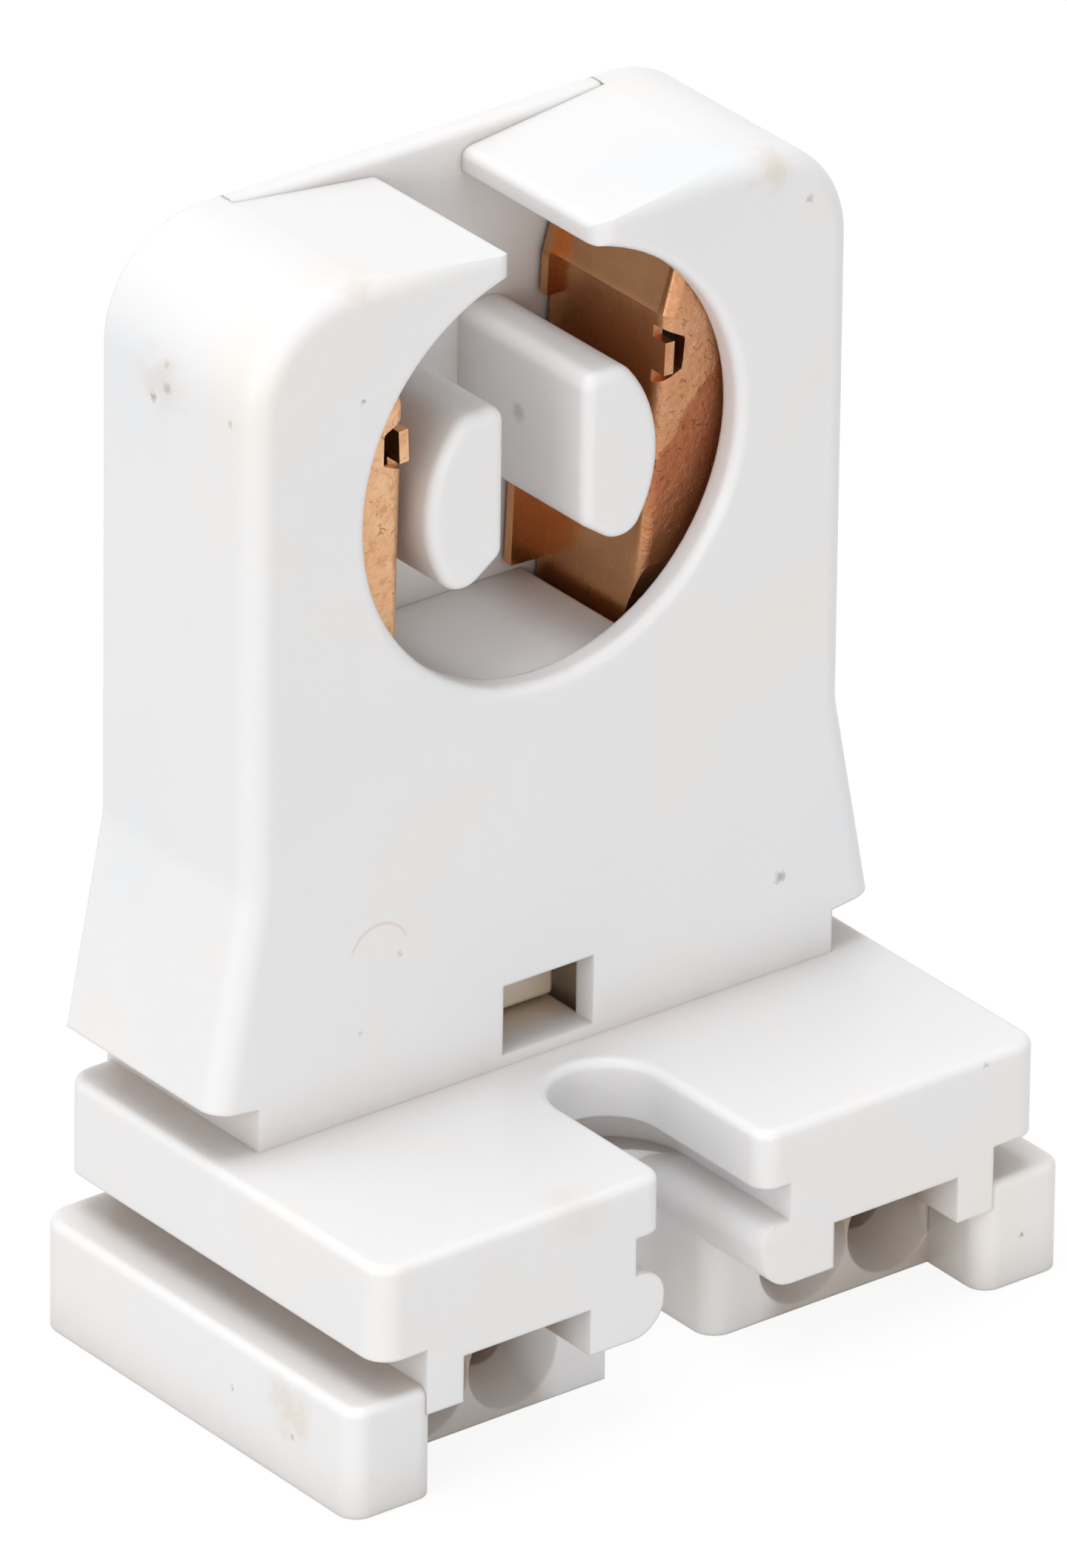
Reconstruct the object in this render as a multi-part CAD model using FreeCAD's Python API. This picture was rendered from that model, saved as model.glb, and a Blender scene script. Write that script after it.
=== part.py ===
import FreeCAD, Part
import math
import os

# Medium bi-pin lamp holder of the turn-in kind, with a slide-on base.
# Frame: +Z up, origin on the underside, midway between the sides and between
# front and back. The lamp comes in from -Y. All sizes in millimetres.

# ---- lamp base that the holder takes -------------------------------------
pin_pitch = 12.7          # between the two pins' axes
pin_diameter = 2.35
pin_room = 0.65           # round opening beyond the pins' sweep
slot_room = 1.25          # entry slot beyond one pin's diameter
lamp_height = 31.8        # axis that the lamp turns about, above the underside
opening_rise = 0.5        # the round opening's centre above that axis
post_play = 0.125         # between the turning pins and the posts
post_drop = 0.3           # the posts' round centre below the lamp axis

# ---- body -----------------------------------------------------------------
body_width = 26.2
body_height = 41.85
body_depth = 8.85
wall = 1.0
shoulder_radius = 4.2
front_edge_radius = 0.9
back_edge_radius = 0.35
flare_top = 19.4          # where the sides start to spread
flare_width = 29.3
flare_tip_height = 11.4
flare_root_height = 11.15
flare_bend_radius = 3.0
neck_width = 25.4
top_dip = 0.72            # fall of the arms from the shoulders to the slot
top_dip_width = 16.2
slot_corner_radius = 0.8
arm_tip_radius = 0.4
opening_edge_radius = 0.4
cavity_floor = 24.0       # top of the shelf under the posts
shelf_width = 9.2
cover_ledge = 0.45        # seat left for the cover inside the walls
cover_gap = 0.04
cover_bottom = 0.9
cover_corner_radius = 0.6

# ---- base -----------------------------------------------------------------
base_depth = 18.4
plate_width = 29.3
plate_top = 9.48
plate_bottom = 5.79
plate_corner_radius = 1.0
plate_edge_radius = 0.35
groove_bottom = 4.29
rail_width = 3.7
rail_span = 31.6
rail_corner_radius = 0.8
rail_back_radius = 1.2
rail_edge_radius = 0.35
inner_neck_width = 25.1
recess_top = 5.06
recess_depth = 3.05
leg_bottom = 3.25
outer_leg_width = 1.6
inner_leg_outside = 5.4
notch_width = 4.3
notch_length = 8.2
notch_corner_radius = 0.8
notch_groove_depth = 1.25
notch_groove_top = 7.25
ledge_step = 0.15
ledge_top_radius = 1.05
ledge_bottom_radius = 1.4
ledge_rise = 0.85         # the ledge's round lower side ends this far above the legs
block_corner_radius = 0.9  # right of the notch
block_left_radius = 0.1

# ---- wire entries ----------------------------------------------------------
entry_x = (6.45, 10.4)
entry_height = 2.15
entry_radius = 1.05
funnel_radius = 1.95
funnel_depth = 1.9
chamber_floor = 0.6
chamber_width = 23.4
chamber_front = 3.2       # block wall in front of the contacts' feet
shaft_bend = 15.4         # the shafts' and the cover's sides are upright above this

# ---- latch window ----------------------------------------------------------
window_width = 4.0
window_bottom = 9.95
window_top = 12.68
latch_gap = 0.15
latch_width = 3.9
latch_setback = 2.35      # the latch's upright front behind the body's face
latch_thickness = 1.2
latch_barb = 0.4          # how far the barb reaches up behind its catch
latch_edge_radius = 0.3
pocket_width = 5.8
pocket_floor = 8.7

# ---- posts on the cover ----------------------------------------------------
post_recess = 0.5         # posts stop this far behind the body's face
post_flat = 1.75          # flat side's distance from the middle
post_top = 35.1
post_bottom = 28.4
post_heel = 29.35         # lower end of the flat side
post_heel_x = 3.1
post_corner_radius = 0.6
post_shoulder_radius = 1.0
post_edge_radius = 0.45

# ---- contacts ---------------------------------------------------------------
strip = 0.4
contact_room = 0.05       # contacts' inner faces outside the posts' reach, low down
contact_lean = 2.4        # degrees, outwards above the leaf's lower end
leaf_low = 22.5
leaf_top = 38.8
leaf_knee = 36.1          # the leaf's top part starts here
leaf_splay = 14.0         # degrees, the top part's further lean outwards
leaf_front_gap = 0.08     # behind the front wall at the leaf's top
leaf_slant = 4.7          # degrees, the leaf's front edge runs back downwards
flange_width = 3.5
flange_foot = 26.2        # below this the flange's front is cut back
flange_cut = (0.8, 2.1)   # depth of that cut at its top and at the leaf's lower end
flange_chamfer = 2.0      # outer top corner
bend_radius = 0.5
notch_low = 33.9
notch_high = 35.15
notch_spread = 0.47       # widening of the detent notch at the bend, each way
detent_depth = 0.95
detent_radius = 0.2
detent_tab_gap = 0.06     # the unbent tab in the notch stops this far behind the front wall
lip_low = 34.7
lip_width = 0.46
tab_low = 24.5
tab_high = 28.1
tab_width = 1.5
tail_width = 4.4
tail_step = 0.6
contact_back_gap = 0.25
foot_low = 1.1
foot_high = 4.2
foot_end = 11.4
foot_gap = 0.3
finger_width = 1.7
finger_length = 1.5
finger_angle = 35.0
finger_margin = 0.5       # strip left round the fingers' slots
finger_play = 0.15

# ---- worked out from the above ----------------------------------------------
back = base_depth / 2
front = -base_depth / 2
face = back - body_depth                  # the body's front face
inside = face + wall
cover_front = back - wall
latch_face = face + latch_setback
opening_radius = (pin_pitch + pin_diameter) / 2 + pin_room
opening_height = lamp_height + opening_rise
post_radius = (pin_pitch - pin_diameter) / 2 - post_play
post_centre = lamp_height - post_drop
contact_x = post_radius + contact_room
slot_half = (pin_diameter + slot_room) / 2
arm_tip_height = body_height - top_dip
full_round_slack = 0.001


def tangentPoints(before, corner, after, radius):
    """Start, middle and end of the arc that rounds a corner."""
    a = (before - corner).normalize()
    b = (after - corner).normalize()
    half = a.getAngle(b) / 2
    along = radius / math.tan(half)
    middle = (a + b).normalize() * (radius / math.sin(half) - radius)
    return corner + a * along, corner + middle, corner + b * along


def roundedWire(corners, place):
    """Closed wire through (u, v, radius) corners, laid in space by place(u, v)."""
    points = [place(c[0], c[1]) for c in corners]
    count = len(points)
    edges = []
    starts = []
    ends = []
    for i in range(count):
        before, after = points[i - 1], points[(i + 1) % count]
        radius = corners[i][2] if len(corners[i]) > 2 else 0
        if radius:
            first, mid, last = tangentPoints(before, points[i], after, radius)
            edges.append(Part.Arc(first, mid, last).toShape())
        else:
            first = last = points[i]
        starts.append(first)
        ends.append(last)
    for i in range(count):
        nxt = starts[(i + 1) % count]
        if ends[i].distanceToPoint(nxt) > 1e-7:
            edges.append(Part.LineSegment(ends[i], nxt).toShape())
    return Part.Wire(Part.__sortEdges__(edges))


def alongY(corners, y0, y1):
    """Solid with an XZ outline, running from y0 to y1."""
    wire = roundedWire(corners, lambda x, z: FreeCAD.Vector(x, y0, z))
    return Part.Face(wire).extrude(FreeCAD.Vector(0, y1 - y0, 0))


def alongZ(corners, z0, z1):
    """Solid with an XY outline, running from z0 to z1."""
    wire = roundedWire(corners, lambda x, y: FreeCAD.Vector(x, y, z0))
    return Part.Face(wire).extrude(FreeCAD.Vector(0, 0, z1 - z0))


def alongX(corners, x0, x1):
    """Solid with a YZ outline, running from x0 to x1."""
    wire = roundedWire(corners, lambda y, z: FreeCAD.Vector(x0, y, z))
    return Part.Face(wire).extrude(FreeCAD.Vector(x1 - x0, 0, 0))


def block(x0, x1, y0, y1, z0, z1):
    size = (x1 - x0, y1 - y0, z1 - z0)
    return Part.makeBox(*size, FreeCAD.Vector(x0, y0, z0))


def mirrored(shape):
    return shape.mirror(FreeCAD.Vector(0, 0, 0), FreeCAD.Vector(1, 0, 0))


def bothSides(shape):
    return shape.fuse(mirrored(shape))


def symmetric(right):
    """Full outline from its right half, listed from the bottom up."""
    left = [(-c[0],) + tuple(c[1:]) for c in reversed(right)]
    return right + left


def bodyOutline():
    """The body's outline seen from the front."""
    side = body_width / 2
    return symmetric([
        (neck_width / 2, plate_bottom),
        (neck_width / 2, flare_root_height),
        (flare_width / 2, flare_tip_height),
        (side, flare_top, flare_bend_radius),
        (side, body_height, shoulder_radius),
    ])


def edgesWhere(shape, test):
    return [edge for edge in shape.Edges if test(edge.BoundBox)]


def flat(value, low, high):
    return abs(low - value) < 1e-4 and abs(high - value) < 1e-4


# ---- housing -----------------------------------------------------------------

def bodyShell():
    """Outside of the body, with its rounded front and back edges."""
    solid = alongY(bodyOutline(), face, back)
    above = flare_tip_height + 0.2
    for y, radius in ((face, front_edge_radius), (back, back_edge_radius)):
        ring = edgesWhere(solid, lambda b: flat(y, b.YMin, b.YMax) and b.ZMax > above)
        solid = solid.makeFillet(radius, ring)
    return solid


def notchedPlan(half, notch, y0, z0, z1, corner, left=0, right=0, extra=0.0):
    """Slab with the notch let into its front edge; left and right round its mouth."""
    end = front + notch_length + extra
    full = notch - full_round_slack
    return alongZ([
        (-half, y0, corner), (-notch, y0, left), (-notch, end, full),
        (notch, end, full), (notch, y0, right), (half, y0, corner),
        (half, back, corner), (-half, back, corner)], z0, z1)


def basePlate():
    """Top plate, undercut along the notch."""
    half = plate_width / 2
    notch = notch_width / 2
    upper = notchedPlan(half, notch, front, notch_groove_top, plate_top,
                        plate_corner_radius, notch_corner_radius, notch_corner_radius)
    rim = edgesWhere(upper, lambda b: flat(plate_top, b.ZMin, b.ZMax) and b.YMin < face)
    upper = upper.makeFillet(plate_edge_radius, rim)
    deep = notch + notch_groove_depth
    lower = notchedPlan(half, deep, front, plate_bottom, notch_groove_top,
                        plate_corner_radius, extra=notch_groove_depth)
    return upper.fuse(lower)


def baseRail():
    """Right foot rail, below the side groove."""
    x1 = rail_span / 2
    x0 = x1 - rail_width
    rail = alongZ([(x0, front, rail_corner_radius), (x1, front, rail_corner_radius),
                   (x1, back, rail_back_radius), (x0, back)], 0, groove_bottom)
    rim = edgesWhere(rail, lambda b: flat(groove_bottom, b.ZMin, b.ZMax))
    return rail.makeFillet(rail_edge_radius, rim)


def baseLower():
    """Legs, ledges, wiring block and neck between the plate and the rails."""
    half = inner_neck_width / 2
    notch = notch_width / 2
    end = front + notch_length
    recess = front + recess_depth
    leg = half - outer_leg_width
    front_outline = [
        (notch, leg_bottom, ledge_bottom_radius), (inner_leg_outside, leg_bottom),
        (inner_leg_outside, recess_top), (leg, recess_top), (leg, leg_bottom),
        (half, leg_bottom), (half, plate_bottom), (notch, plate_bottom, ledge_top_radius)]
    fronts = bothSides(alongY(front_outline, front, end))
    ledge = leg_bottom + ledge_rise
    lower = notchedPlan(half, notch + ledge_step, recess, 0, ledge,
                        0, block_left_radius, block_corner_radius)
    upper = notchedPlan(half, notch + notch_groove_depth, recess, ledge, plate_bottom, 0)
    return lower.fuse([upper, fronts])


def baseSolid():
    return basePlate().fuse([baseLower(), baseRail(), mirrored(baseRail())])


def armCut():
    """What is cut off above and between the two arms, in front of the cover."""
    return alongY(symmetric([
        (slot_half, opening_height), (slot_half, arm_tip_height, arm_tip_radius),
        (top_dip_width / 2, body_height), (top_dip_width / 2, body_height + 1)]),
        face - 1, cover_front)


def place(radius, y):
    """Point on the lamp side at a distance from the opening's axis."""
    return FreeCAD.Vector(radius, y, opening_height)


def pinOpening():
    """Round opening for the turning pins, with the entry slot's rounded mouth above it."""
    e = opening_edge_radius
    r = opening_radius
    rim = Part.Arc(place(r + e, face), place(r + e - e * math.sqrt(0.5), face + e - e * math.sqrt(0.5)),
                   place(r, face + e)).toShape()
    ends = [place(r, face + e), place(r, cover_front), place(0, cover_front),
            place(0, face - 1), place(r + e, face - 1), place(r + e, face)]
    sides = [Part.LineSegment(a, b).toShape() for a, b in zip(ends, ends[1:])]
    centre = FreeCAD.Vector(0, 0, opening_height)
    disc = Part.Face(Part.Wire([rim] + sides)).revolve(centre, FreeCAD.Vector(0, 1, 0), 360)
    corner = slot_corner_radius
    mouth = alongZ([(-slot_half - 3, face - 2), (slot_half + 3, face - 2), (slot_half + 3, face),
                    (slot_half, face, corner), (slot_half, cover_front),
                    (-slot_half, cover_front), (-slot_half, face, corner), (-slot_half - 3, face)],
                   opening_height + r - 2.5, body_height + 1)
    return disc.fuse(mouth)


def lampCavity():
    """Space behind the front wall for the pins, posts and contact leaves."""
    side = body_width / 2 - wall
    top = body_height - wall
    return alongY(symmetric([
        (side, cavity_floor), (side, top, shoulder_radius - wall), (top_dip_width / 2, top),
        (slot_half, arm_tip_height - wall)]), inside, back + 1)


def contactShaft():
    """Right-hand shaft that the contact stands in, open to the back."""
    x0 = shelf_width / 2
    x1 = chamber_width / 2
    x2 = body_width / 2 - wall
    return alongY([(x0, chamber_floor), (x1, chamber_floor), (x1, plate_top + wall),
                   (x2, shaft_bend), (x2, cavity_floor + 1), (x0, cavity_floor + 1)],
                  inside, back + 1)


def footChamber():
    """Right-hand room for the contact's foot, inside the base."""
    y0 = front + recess_depth + chamber_front
    return block(shelf_width / 2, chamber_width / 2, y0, inside + 1,
                 chamber_floor, foot_high + foot_gap)


def wireEntries():
    """Right-hand pair of funnelled wire entries."""
    y0 = front + recess_depth
    cuts = []
    for x in entry_x:
        mouth = FreeCAD.Vector(x, y0, entry_height)
        cuts.append(Part.makeCone(funnel_radius, entry_radius, funnel_depth,
                                  mouth, FreeCAD.Vector(0, 1, 0)))
        cuts.append(Part.makeCylinder(entry_radius, chamber_front + 1,
                                      mouth, FreeCAD.Vector(0, 1, 0)))
    return cuts[0].fuse(cuts[1:])


def coverOutline(gap):
    """The cover's outline; gap is the play left all round."""
    inset = wall - cover_ledge + gap
    side = body_width / 2 - inset
    half = top_dip_width / 2 - gap
    chamber = chamber_width / 2 + cover_ledge / 2 - gap
    return symmetric([
        (chamber, cover_bottom + gap, cover_corner_radius),
        (chamber, plate_top + wall + cover_ledge),
        (side, shaft_bend),
        (side, body_height - inset, shoulder_radius - inset),
        (half, body_height - inset),
        (half, body_height),
    ])


def coverSeat():
    """Recess that the cover drops into from behind."""
    half = top_dip_width / 2
    tab = block(-half, half, cover_front, back + 1, body_height - wall, body_height + 1)
    return alongY(coverOutline(0), cover_front, back + 1).fuse(tab)


def latchWindow():
    """Window in the front wall and the channel for the cover's latch behind it."""
    half = window_width / 2
    window = block(-half, half, face - 1, inside + 1, window_bottom, window_top)
    room = latch_width / 2 + latch_gap
    roof = window_top + latch_gap
    channel = block(-room, room, inside, back, window_bottom, roof)
    catch = latch_face + latch_thickness + latch_gap
    pocket = block(-pocket_width / 2, pocket_width / 2, inside, catch,
                   pocket_floor, roof + latch_barb)
    sill = block(-room, room, inside, catch, pocket_floor, window_bottom)
    return window.fuse([channel, pocket.cut(sill)])


def housing():
    solid = bodyShell().fuse(baseSolid())
    cuts = [armCut(), pinOpening(), lampCavity(), coverSeat(), latchWindow()]
    for side in (contactShaft(), footChamber(), wireEntries()):
        cuts += [side, mirrored(side)]
    return solid.cut(cuts).removeSplitter()


# ---- cover ---------------------------------------------------------------------

def post():
    """Right-hand post between the two pin paths."""
    tip = face + post_recess
    disc = Part.makeCylinder(post_radius, cover_front - tip + 0.1,
                             FreeCAD.Vector(0, tip, post_centre), FreeCAD.Vector(0, 1, 0))
    trim = alongY([(post_flat, post_heel, post_corner_radius),
                   (post_heel_x, post_bottom, post_shoulder_radius),
                   (post_radius + 1, post_bottom), (post_radius + 1, post_top),
                   (post_flat, post_top, post_corner_radius)], face, back)
    solid = disc.common(trim)
    sharp = edgesWhere(solid, lambda b: b.XLength + b.ZLength < 0.01 and b.XMin > post_heel_x
                       and min(abs(b.ZMin - post_top), abs(b.ZMin - post_bottom)) < 0.01)
    solid = solid.makeFillet(post_shoulder_radius, sharp)
    rim = edgesWhere(solid, lambda b: flat(tip, b.YMin, b.YMax))
    return solid.makeFillet(post_edge_radius, rim)


def latch():
    """Sprung tongue behind the front window, its barb caught behind the front wall."""
    half = latch_width / 2
    low = window_bottom + latch_gap
    heel = latch_face + latch_thickness
    root = cover_front + 0.1
    barb = window_top + latch_barb
    r = latch_edge_radius
    return alongX([(latch_face, low, r), (latch_face, barb, r), (heel, barb),
                   (heel, window_top), (root, window_top), (root, window_top - latch_thickness),
                   (heel, window_top - latch_thickness, r), (heel, low)], -half, half)


def rearCover():
    plate = alongY(coverOutline(cover_gap), cover_front, back)
    top = edgesWhere(plate, lambda b: flat(body_height, b.ZMin, b.ZMax) and b.XLength > 1)
    plate = plate.makeFillet(back_edge_radius, top)
    return plate.fuse([post(), mirrored(post()), latch()]).removeSplitter()


# ---- contacts --------------------------------------------------------------------

def stripAngle(z0, z1):
    """Folded strip, flange and web, with its inner front corner on the Z axis."""
    depth = base_depth / 2
    return alongZ([(0, 0, bend_radius), (flange_width, 0), (flange_width, strip),
                   (strip, strip, bend_radius - strip), (strip, depth), (0, depth)], z0, z1)


def contactLeaf():
    """Upper leaf with its folded front flange, notched for a detent tab, and its rear edge."""
    top_front = inside + leaf_front_gap
    rear = cover_front - contact_back_gap
    lower = stripAngle(leaf_low - 1, leaf_knee)
    lower.rotate(FreeCAD.Vector(0, 0, leaf_knee), FreeCAD.Vector(1, 0, 0), leaf_slant)
    lower.translate(FreeCAD.Vector(0, top_front, 0))
    foot = alongX([(inside, flange_foot), (top_front + flange_cut[0], flange_foot),
                   (top_front + flange_cut[1], leaf_low), (inside, leaf_low)], -1, flange_width + 1)
    mouth = notch_spread * (1 + 1 / detent_depth)
    notch = alongY([(detent_depth, notch_low, detent_radius), (detent_depth, notch_high, detent_radius),
                    (-1, notch_high + mouth), (-1, notch_low - mouth)],
                   inside, top_front + bend_radius + strip / 2)
    lower = lower.common(block(-1, flange_width + 1, inside, rear, leaf_low, leaf_knee))
    lower = lower.cut([foot, notch])
    upper = stripAngle(leaf_knee, leaf_top)
    upper.translate(FreeCAD.Vector(0, top_front, 0))
    upper = upper.common(block(-1, flange_width + 1, inside, rear, leaf_knee, leaf_top))
    corner = alongY([(flange_width - flange_chamfer, leaf_top), (flange_width + 1, leaf_knee),
                     (flange_width + 1, leaf_top)], inside, back)
    upper = upper.cut(corner)
    upper = upper.fuse(block(-lip_width, strip, rear - strip, rear, leaf_knee, leaf_top))
    upper.rotate(FreeCAD.Vector(0, 0, leaf_knee), FreeCAD.Vector(0, 1, 0), leaf_splay)
    edge = block(-lip_width, strip, rear - strip, rear, lip_low, leaf_knee + strip / 2)
    tab = block(-tab_width, strip, rear - strip, rear, tab_low, tab_high)
    detent = block(0, strip, inside + detent_tab_gap, top_front + 2 * bend_radius, notch_low, notch_high)
    leaf = lower.fuse([upper, edge, tab, detent])
    leaf.translate(FreeCAD.Vector(contact_x, 0, 0))
    leaf.rotate(FreeCAD.Vector(contact_x, 0, leaf_low), FreeCAD.Vector(0, 1, 0), contact_lean)
    return leaf


def contactTail():
    """Upright strip and foot side, below the shelf."""
    rear = cover_front - contact_back_gap
    narrow = rear - tail_width
    foot = front + recess_depth + chamber_front + foot_gap
    high = leaf_low + strip
    return alongX([(foot, foot_low), (foot, foot_high), (narrow - tail_step, foot_high, strip),
                   (narrow, foot_high + 2 * tail_step, strip), (narrow, high), (rear, high),
                   (rear, foot_low)], contact_x, contact_x + strip)


def contactFoot():
    """Cross plate of the foot, with a clamp finger for each wire."""
    y0 = front + recess_depth + chamber_front + foot_gap
    plate = block(contact_x, foot_end, y0, y0 + strip, foot_low, foot_high)
    half = finger_width / 2
    root = foot_high - finger_margin
    for x in entry_x:
        plate = plate.cut(block(x - half, x + half, y0 - 1, y0 + 1,
                                foot_low + finger_margin, root))
    for x in entry_x:
        finger = block(x - half + finger_play, x + half - finger_play, y0, y0 + strip,
                       root - finger_length, root + finger_margin / 5)
        finger.rotate(FreeCAD.Vector(0, y0, root), FreeCAD.Vector(1, 0, 0), finger_angle)
        plate = plate.fuse(finger)
    return plate


def contact():
    """Right-hand contact, one folded strip."""
    return contactLeaf().fuse([contactTail(), contactFoot()]).removeSplitter()


parts = {
    "housing": housing(),
    "rear_cover": rearCover(),
    "contact_right": contact(),
    "contact_left": mirrored(contact()),
}

os.makedirs("parts", exist_ok=True)
for name, shape in parts.items():
    print(name, len(shape.Solids), "solid,", round(shape.Volume, 1), "mm3, valid", shape.isValid())
    shape.exportStep("parts/" + name + ".step")
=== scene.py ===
import bpy, math
from mathutils import Matrix, Vector


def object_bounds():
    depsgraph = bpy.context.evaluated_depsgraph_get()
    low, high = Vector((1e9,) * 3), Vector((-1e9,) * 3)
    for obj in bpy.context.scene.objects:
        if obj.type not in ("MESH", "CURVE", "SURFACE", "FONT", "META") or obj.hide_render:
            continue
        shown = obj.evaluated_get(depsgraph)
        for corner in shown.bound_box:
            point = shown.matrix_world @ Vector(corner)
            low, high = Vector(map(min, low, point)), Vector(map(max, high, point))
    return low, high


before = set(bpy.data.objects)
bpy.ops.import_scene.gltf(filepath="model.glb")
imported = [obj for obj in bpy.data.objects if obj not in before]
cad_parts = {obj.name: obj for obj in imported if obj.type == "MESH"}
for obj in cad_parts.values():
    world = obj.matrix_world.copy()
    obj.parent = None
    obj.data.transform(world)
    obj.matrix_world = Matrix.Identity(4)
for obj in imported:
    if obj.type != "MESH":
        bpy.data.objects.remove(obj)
cadBounds = [list(p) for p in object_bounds()]
mm = 0.001
print("frame loaded:", ", ".join(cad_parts))


class Sock:
    # a socket or number that adds Math nodes when it is used in an expression
    def __init__(self, shader, value):
        self.shader = shader
        self.value = value

    def math(self, operation, *others):
        return self.shader.add("ShaderNodeMath", {"operation": operation}, [self, *others])

    def __add__(self, other):
        return self.math("ADD", other)

    def __sub__(self, other):
        return self.math("SUBTRACT", other)

    def __rsub__(self, other):
        return Sock(self.shader, other).math("SUBTRACT", self)

    def __mul__(self, other):
        return self.math("MULTIPLY", other)

    def __pow__(self, other):
        return self.math("POWER", other)

    __radd__ = __add__
    __rmul__ = __mul__

    def clamp(self):
        return self.shader.add("ShaderNodeClamp", {}, [self])


class Shader:
    # one node tree and the few ways of adding to it
    def __init__(self, tree):
        self.tree = tree
        self.surface = tree.nodes.get("Principled BSDF")

    def node(self, kind, settings=None, inputs=()):
        made = self.tree.nodes.new(kind)
        for key, value in (settings or {}).items():
            setattr(made, key, value)
        pairs = inputs.items() if isinstance(inputs, dict) else enumerate(inputs)
        for key, value in pairs:
            self.plug(value, made.inputs[key])
        return made

    def add(self, kind, settings=None, inputs=(), output=0):
        return Sock(self, self.node(kind, settings, inputs).outputs[output])

    def plug(self, value, socket):
        if isinstance(value, Sock):
            value = value.value
        if isinstance(value, bpy.types.NodeSocket):
            self.tree.links.new(value, socket)
        elif isinstance(value, tuple) and len(value) < len(socket.default_value):
            socket.default_value = (*value, 1)     # a colour gets its alpha
        else:
            socket.default_value = value

    def set(self, **values):
        for key, value in values.items():
            self.plug(value, self.surface.inputs[key.replace("_", " ")])

    def places(self):
        return self.add("ShaderNodeTexCoord", output="Object")

    def mix(self, share, first, second):
        return self.add("ShaderNodeMix", {"data_type": "RGBA"}, {0: share, 6: first, 7: second}, 2)

    def noise(self, place, grain, detail=2.0, roughness=0.5):
        # grain is the size of one blotch
        return self.add("ShaderNodeTexNoise", {}, {"Vector": place, "Scale": 1 / grain,
                                                   "Detail": detail, "Roughness": roughness})

    def step(self, value, low, high):
        # 0 below low, 1 above high, smooth between
        return self.add("ShaderNodeMapRange", {"interpolation_type": "SMOOTHSTEP"},
                        {"Value": value, "From Min": low, "From Max": high})

    def past(self, value, low, high):
        # the same for a place, with its limits in mm
        return self.step(value, low * mm, high * mm)

    def band(self, value, rise, fall):
        # 1 between the two pairs of limits
        return self.past(value, *rise) * (1 - self.past(value, *fall))

    def vector(self, operation, inputs, output=0):
        return self.add("ShaderNodeVectorMath", {"operation": operation}, inputs, output)

    def distance(self, place, point):
        return self.vector("DISTANCE", [place, point], "Value")

    def parts(self, place):
        split = self.node("ShaderNodeSeparateXYZ", {}, [place])
        return [Sock(self, split.outputs[i]) for i in range(3)]

    def warped(self, place, amount, grain):
        # places shifted about a little, so that marks get ragged outlines
        wobble = self.add("ShaderNodeTexNoise", {}, {"Vector": place, "Scale": 1 / grain,
                                                     "Detail": 3.0}, "Color")
        centred = self.vector("SUBTRACT", [wobble, (0.5, 0.5, 0.5)])
        shift = self.vector("SCALE", {0: centred, "Scale": amount})
        return self.vector("ADD", [place, shift])

    def bump(self, height, depth, strength=1.0, under=None):
        inputs = {"Height": height, "Distance": depth, "Strength": strength}
        if under is not None:
            inputs["Normal"] = under
        return self.add("ShaderNodeBump", {}, inputs)


def newShader(name):
    material = bpy.data.materials.new(name)
    material.use_nodes = True
    return material, Shader(material.node_tree)


plastic = {
    "colour": (0.815, 0.812, 0.815),
    "warmTint": (0.83, 0.805, 0.78),
    "coolTint": (0.79, 0.80, 0.815),
    "drift": 9 * mm,               # size of the warm and cool areas
    "roughness": 0.36,
    "skinGrain": 0.11 * mm,
    "skinDepth": 0.006 * mm,
    "sinkGrain": 5.0 * mm,
    "sinkDepth": 0.10 * mm,
    "edgeSoftness": 0.14 * mm,
    "glow": 0.3,                   # share of the light that soaks into the plastic
    "glowDepth": 0.8 * mm,
    "glowColour": (1.0, 0.85, 0.70),
}

# real stains and specks, and colours for painted shade in recesses, funnels and the window pocket
dirtAndShade = {
    "recessShade": (0.36, 0.25, 0.17),
    "shadeReach": 2.6 * mm,
    "shadeShare": 0.75,
    "blotchSize": 1.6 * mm,
    "funnelShade": (0.30, 0.20, 0.12),
    "windowShade": (0.66, 0.47, 0.27),
    "stain": (0.62, 0.46, 0.30),
    "speck": (0.16, 0.13, 0.11),
}

# small marks from handling: (place in mm, radius in mm, strength)
darkSpecks = [
    ((-13.1, 5.4, 38.2), 0.25, 0.3),
    ((-13.1, 5.3, 37.3), 0.35, 0.4),
    ((-13.1, 6.1, 36.7), 0.25, 0.6),
    ((-13.1, 1.7, 37.4), 0.2, 0.3),
    ((-8.4, 0.35, 37.4), 0.15, 0.6),
    ((10.3, 0.35, 13.2), 0.35, 0.55),
    ((11.1, 0.35, 39.6), 0.2, 0.45),
    ((-6.6, 0.35, 15.4), 0.15, 0.35),
    ((-8.3, 0.35, 12.8), 0.15, 0.3),
    ((12.1, -9.2, 9.2), 0.15, 0.4),
    ((13.9, -9.2, 1.8), 0.15, 0.8),
    # the soft dark spot on the right post's slot side is painted shade of a small dent
    ((1.75, 4.7, 32.3), 0.5, 0.35),
    ((-15.8, -2.3, 2.3), 0.15, 0.5),
    ((-15.8, -5.8, 1.9), 0.2, 0.4),
]
brownStains = [
    ((-13.1, 5.6, 37.4), 1.6, 0.25),
    ((9.4, 0.5, 41.2), 1.3, 0.3),
    ((-8.2, 0.6, 41.5), 1.1, 0.2),
    ((-6.0, -9.2, 9.4), 1.9, 0.15),
    ((-15.8, -5.6, 2.8), 1.6, 0.35),
]
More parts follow.
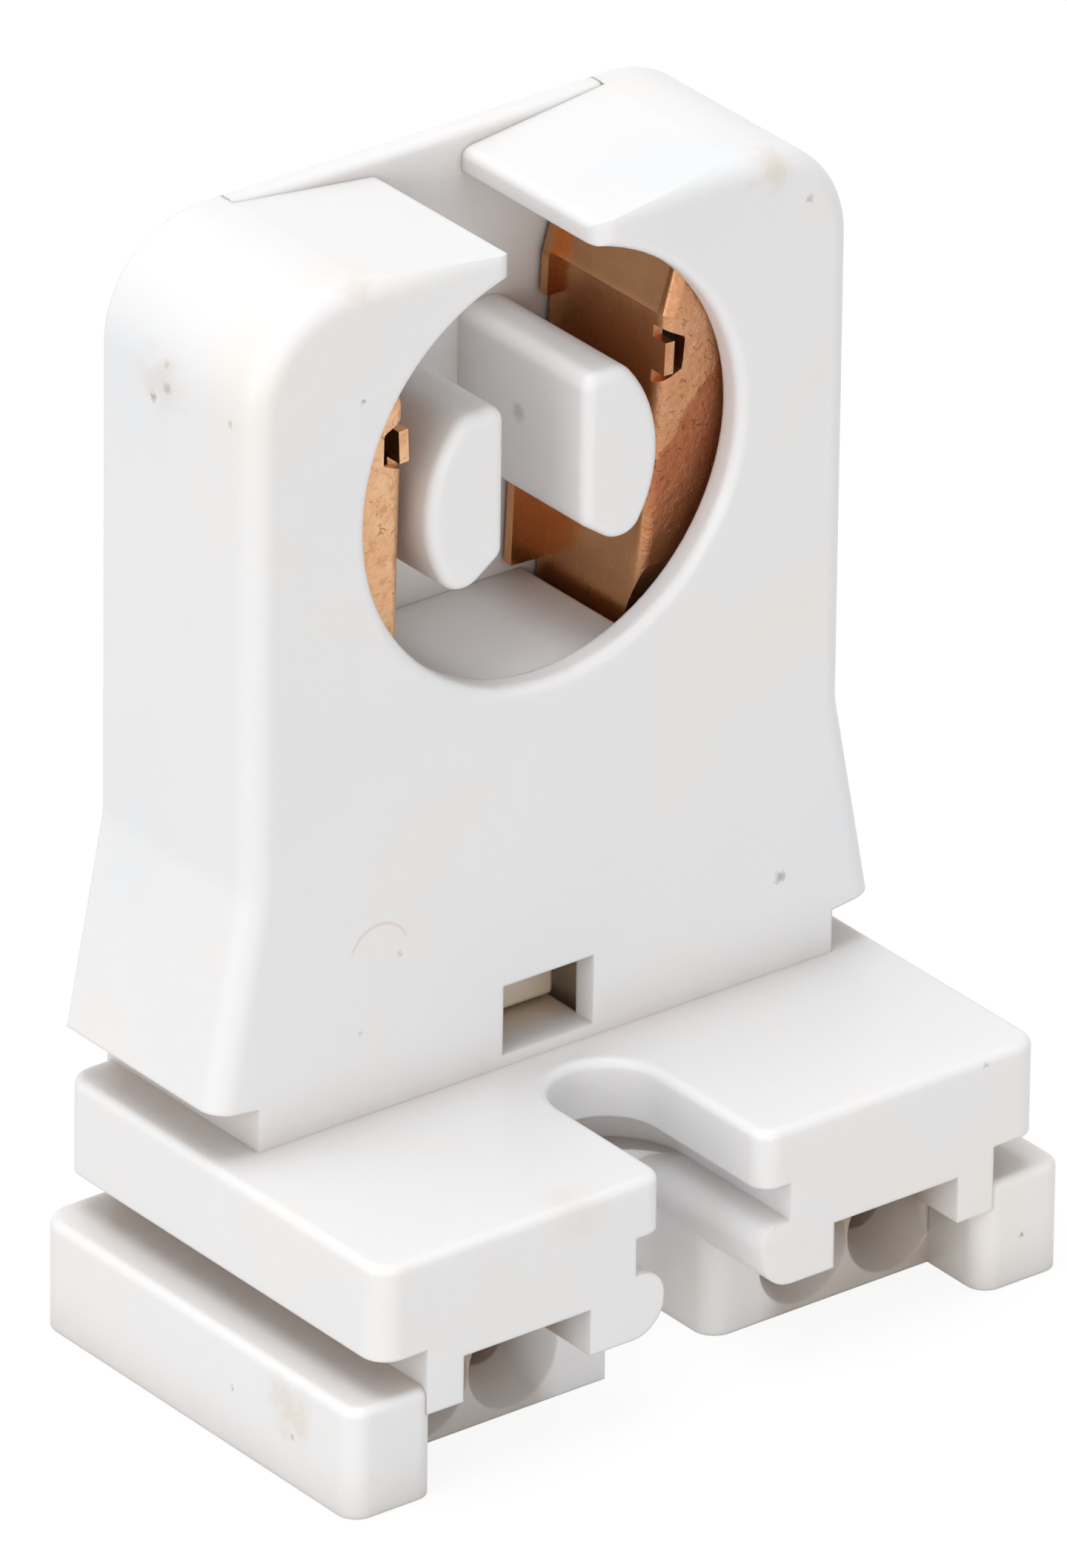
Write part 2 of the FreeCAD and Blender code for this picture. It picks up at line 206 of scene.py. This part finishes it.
# a faint curved scratch on the front, in mm
scratch = {
    "centre": (-7.5, 0.35, 15.6),
    "radius": 1.25,
    "width": 0.1,
    "from": (15.9, 16.2),          # it fades out between these heights
    "share": 0.5,
    "colour": (0.72, 0.50, 0.50),
}


def scaled(place):
    return tuple(v * mm for v in place)


def marks(s, place, spots, edge):
    # one mask for a list of round marks, soft over the outer share of each
    total = None
    for centre, radius, strength in spots:
        near = s.distance(place, scaled(centre))
        mark = (1 - s.past(near, radius * (1 - edge), radius)) * strength
        total = mark if total is None else total.math("MAXIMUM", mark)
    return total


def addPaintedShade(s, colour, place, patch):
    across, back, height = s.parts(place)
    off = across.math("ABSOLUTE")

    # painted shade: the colour darkens and warms where ambient occlusion finds little open space,
    # except in the screw notch
    openness = s.add("ShaderNodeAmbientOcclusion", {"samples": 5},
                     {"Distance": dirtAndShade["shadeReach"]}, "AO")
    notch = (1 - s.past(off, 4.4, 5.0)) * (1 - s.past(back, -3.5, -2.5))
    shadeAmount = ((1 - openness) ** 1.6 * (0.75 + patch * 0.5)).clamp() * (1 - notch * 0.8)
    colour = s.mix(shadeAmount * dirtAndShade["shadeShare"], colour, dirtAndShade["recessShade"])

    # painted shade: the wire funnels are darkened and browned, most of all under the plate
    funnels = s.band(off, (4.8, 5.6), (12.0, 12.3)) * s.band(back, (-8.6, -6.4), (1.5, 2.5))
    funnels = funnels * (1 - s.past(height, 4.4, 5.4)) * (0.4 + s.past(height, 1.0, 3.4) * 0.45)
    colour = s.mix(funnels * (0.8 + patch * 0.4), colour, dirtAndShade["funnelShade"])

    # painted shade: the latch and the pocket behind the window are browned
    window = (1 - s.past(off, 3.0, 3.2)) * s.band(back, (0.8, 2.4), (4.5, 5.5))
    window = window * s.band(height, (9.2, 9.8), (13.5, 15.5))
    return s.mix(window * (0.3 + patch * 0.4), colour, dirtAndShade["windowShade"])


def addMarks(s, colour, place):
    worn = s.warped(place, 2.4 * mm, 0.9 * mm)
    colour = s.mix(marks(s, worn, brownStains, 0.95), colour, dirtAndShade["stain"])
    ragged = s.warped(place, 0.42 * mm, 0.16 * mm)
    colour = s.mix(marks(s, ragged, darkSpecks, 0.9), colour, dirtAndShade["speck"])
    ring = s.distance(place, scaled(scratch["centre"])) - scratch["radius"] * mm
    line = 1 - s.past(ring.math("ABSOLUTE"), 0, scratch["width"])
    line = line * s.past(s.parts(place)[2], *scratch["from"])
    return s.mix(line * scratch["share"], colour, scratch["colour"])


def whitePlastic():
    material, s = newShader("whitePlastic")
    place = s.places()
    patch = s.noise(place, dirtAndShade["blotchSize"], 3.0)
    tone = s.noise(place, plastic["drift"])
    colour = s.mix(s.step(tone, 0.52, 0.72), plastic["colour"], plastic["warmTint"])
    colour = s.mix(1 - s.step(tone, 0.28, 0.48), colour, plastic["coolTint"])
    colour = addPaintedShade(s, colour, place, patch)
    colour = addMarks(s, colour, place)

    # sharp moulded edges catch the light as if slightly rounded
    relief = s.add("ShaderNodeBevel", {"samples": 4}, {"Radius": plastic["edgeSoftness"]})
    sink = s.noise(place, plastic["sinkGrain"], 1.0)
    relief = s.bump(sink, plastic["sinkDepth"], 0.6, relief)
    skin = s.noise(place, plastic["skinGrain"], 3.0)
    relief = s.bump(skin, plastic["skinDepth"], 0.8, relief)
    rough = plastic["roughness"] + (patch - 0.5) * 0.12
    s.set(Base_Color=colour, Roughness=rough, Normal=relief, Subsurface_Weight=plastic["glow"],
          Subsurface_Scale=plastic["glowDepth"], Subsurface_Radius=plastic["glowColour"])
    return material


bronze = {
    "colour": (0.85, 0.49, 0.26),
    "shadeAndPits": (0.54, 0.24, 0.10),
    "pale": (0.92, 0.66, 0.42),
    "flangeShade": (0.40, 0.10, 0.03),
    "tabTopShade": (0.20, 0.10, 0.05),
    "roughness": 0.28,
    "cloud": 1.5 * mm,             # size of the tone's blotches
    "cloudDepth": 0.10 * mm,
    "pit": 0.42 * mm,
    "pitDepth": 0.09 * mm,
    "grain": 0.14 * mm,
    "grainDepth": 0.02 * mm,
    "vein": 1.1 * mm,
    "flangeShadeLine": (-23.3, -22.7),     # soft edge of the painted rim shadow, in mm
    "topFrom": (35.9, 36.4),           # height where the splayed top starts, in mm
}


def contactBronze():
    material, s = newShader("contactBronze")
    place = s.places()
    across, back, height = s.parts(place)
    facing = 0 - s.parts(s.add("ShaderNodeNewGeometry", output="Normal"))[1]
    tone = s.noise(place, bronze["cloud"], 4.0, 0.6)
    grain = s.noise(place, bronze["grain"], 4.0, 0.65)
    pits = s.noise(place, bronze["pit"], 5.0, 0.7)

    # only the front flange is pitted and cracked; the web is smooth, and painted shade makes it
    # darker
    flange = (1 - s.past(back, 1.95, 2.7)) * s.step(facing, 0.4, 0.7)
    web = 1 - flange
    ragged = s.warped(place, 1.1 * mm, 0.6 * mm)
    cells = s.add("ShaderNodeTexVoronoi", {"feature": "DISTANCE_TO_EDGE"},
                  {"Vector": ragged, "Scale": 1 / bronze["vein"]}, "Distance")
    veins = (1 - s.step(cells, 0.0, 0.04)) * s.step(pits, 0.52, 0.60) * flange
    hollow = (1 - s.step(pits, 0.36, 0.50)) * flange
    colour = s.mix(s.step(tone, 0.45, 0.65) * 0.5 * flange, bronze["colour"], bronze["pale"])
    colour = s.mix(web * (0.35 + tone * 0.3), colour, bronze["shadeAndPits"])
    colour = s.mix(hollow * 0.5 + veins * 0.6, colour, bronze["shadeAndPits"])

    # painted shade: the right flange is darker all over, and a ragged painted shadow of the rim
    # covers its lower outer part
    rimShadowEdge = across * 1.33 - height + (tone + pits - 1) * 1.6 * mm
    patch = s.past(rimShadowEdge, *bronze["flangeShadeLine"]) * 0.85
    rightFlangeShade = s.past(across, 0, 1) * (0.28 + pits * 0.4)
    colour = s.mix(patch.math("MAXIMUM", rightFlangeShade) * flange, colour, bronze["flangeShade"])

    # painted shade: the web's rear tab and splayed top are darkened to brown
    tab = s.step(facing, 0.5, 0.8) * s.past(back, 5, 6)
    shadedTabTop = tab.math("MAXIMUM", s.past(height, *bronze["topFrom"]))
    colour = s.mix(shadedTabTop * web * 0.35, colour, bronze["tabTopShade"])

    relief = s.bump(tone, bronze["cloudDepth"], flange * 0.35 + 0.15)
    relief = s.bump(pits - veins * 0.5, bronze["pitDepth"], flange * 0.9, relief)
    relief = s.bump(grain, bronze["grainDepth"], flange * 0.6 + 0.1, relief)
    rough = bronze["roughness"] + flange * 0.14 + (tone - 0.5) * 0.2
    s.set(Base_Color=colour, Roughness=rough, Metallic=1 - flange * 0.35, Normal=relief)
    return material


def dress(node, material):
    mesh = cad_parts[node].data
    mesh.materials.clear()
    mesh.materials.append(material)


white = whitePlastic()
copper = contactBronze()
for node in ("housing", "rear_cover"):
    dress(node, white)
for node in ("contact_left", "contact_right"):
    dress(node, copper)
print("materials done")


view = {
    "eye": (-0.41450, -0.53165, 0.36820),
    "turn": 37.871,        # degrees from +Y towards +X
    "tilt": 27.304,        # degrees below level
    "roll": 0.70,
    "lens": 498.8,
}


def placeCamera():
    turn, tilt, roll = (math.radians(view[k]) for k in ("turn", "tilt", "roll"))
    level = math.cos(tilt)
    ahead = Vector((math.sin(turn) * level, math.cos(turn) * level, -math.sin(tilt)))
    right = Vector((math.cos(turn), -math.sin(turn), 0))
    up = right.cross(ahead)
    right, up = (right * math.cos(roll) + up * math.sin(roll),
                 up * math.cos(roll) - right * math.sin(roll))
    camera = bpy.data.objects.new("camera", bpy.data.cameras.new("camera"))
    camera.data.lens = view["lens"]
    camera.data.clip_start = 0.01
    camera.data.clip_end = 20
    camera.matrix_world = Matrix((right, up, -ahead)).transposed().to_4x4()
    camera.location = view["eye"]
    bpy.context.collection.objects.link(camera)
    bpy.context.scene.camera = camera


studio = {
    "background": 1.06,        # what the lens and polished metal see around the object
    "ambient": 0.60,
    "shadow": 0.16,            # how much of the object's shadow the floor keeps
    "floorSide": 6.0,
    "floorDrop": 0.05 * mm,    # keeps the floor clear of the base's underside
    "floorColour": (0.74, 0.73, 0.72),
    # name: (place, size, power)
    "lamps": {
        "overhead": ((-0.10, 0.05, 0.70), 0.5, 2.5),
        "left": ((-0.70, -0.20, 0.24), 0.4, 1.12),
        "front": ((-0.30, -0.71, 0.11), 0.35, 1.1),
    },
}


def seenDirectly(s):
    # 1 for the lens, and for what polished or clear things show
    path = s.node("ShaderNodeLightPath")
    rays = [Sock(s, path.outputs[name]) for name in
            ("Is Camera Ray", "Is Glossy Ray", "Is Transmission Ray")]
    return (rays[0] + rays[1] + rays[2]).clamp()


def placeFloor():
    half = studio["floorSide"] / 2
    mesh = bpy.data.meshes.new("floor")
    mesh.from_pydata([(-half, -half, 0), (half, -half, 0), (half, half, 0), (-half, half, 0)],
                     [], [(0, 1, 2, 3)])
    floor = bpy.data.objects.new("floor", mesh)
    floor.location.z = cadBounds[0][2] - studio["floorDrop"]
    bpy.context.collection.objects.link(floor)
    material, s = newShader("floorWhite")
    s.set(Base_Color=studio["floorColour"], Roughness=0.9)
    glow = s.add("ShaderNodeEmission", {}, {"Color": (1, 1, 1), "Strength": studio["background"]})
    share = seenDirectly(s) * (1 - studio["shadow"])
    mixed = s.add("ShaderNodeMixShader", {}, [share, s.surface.outputs[0], glow])
    s.plug(mixed, s.tree.nodes["Material Output"].inputs[0])
    mesh.materials.append(material)


def placeLamps():
    middle = Vector((0, 0, (cadBounds[0][2] + cadBounds[1][2]) / 2))
    for name, (place, size, power) in studio["lamps"].items():
        lamp = bpy.data.lights.new(name, "AREA")
        lamp.shape = "DISK"
        lamp.size = size
        lamp.energy = power
        shown = bpy.data.objects.new(name, lamp)
        shown.location = place
        shown.rotation_euler = (middle - Vector(place)).to_track_quat("-Z", "Y").to_euler()
        bpy.context.collection.objects.link(shown)


def placeSky():
    world = bpy.data.worlds.new("studio")
    world.use_nodes = True
    s = Shader(world.node_tree)
    strength = seenDirectly(s) * (studio["background"] - studio["ambient"]) + studio["ambient"]
    sky = s.tree.nodes["Background"]
    s.plug(strength, sky.inputs["Strength"])
    s.plug((1, 1, 1), sky.inputs["Color"])
    bpy.context.scene.world = world


placeCamera()
placeFloor()
placeLamps()
placeSky()
bpy.context.scene.view_settings.view_transform = "Standard"
print("camera, floor and light done")
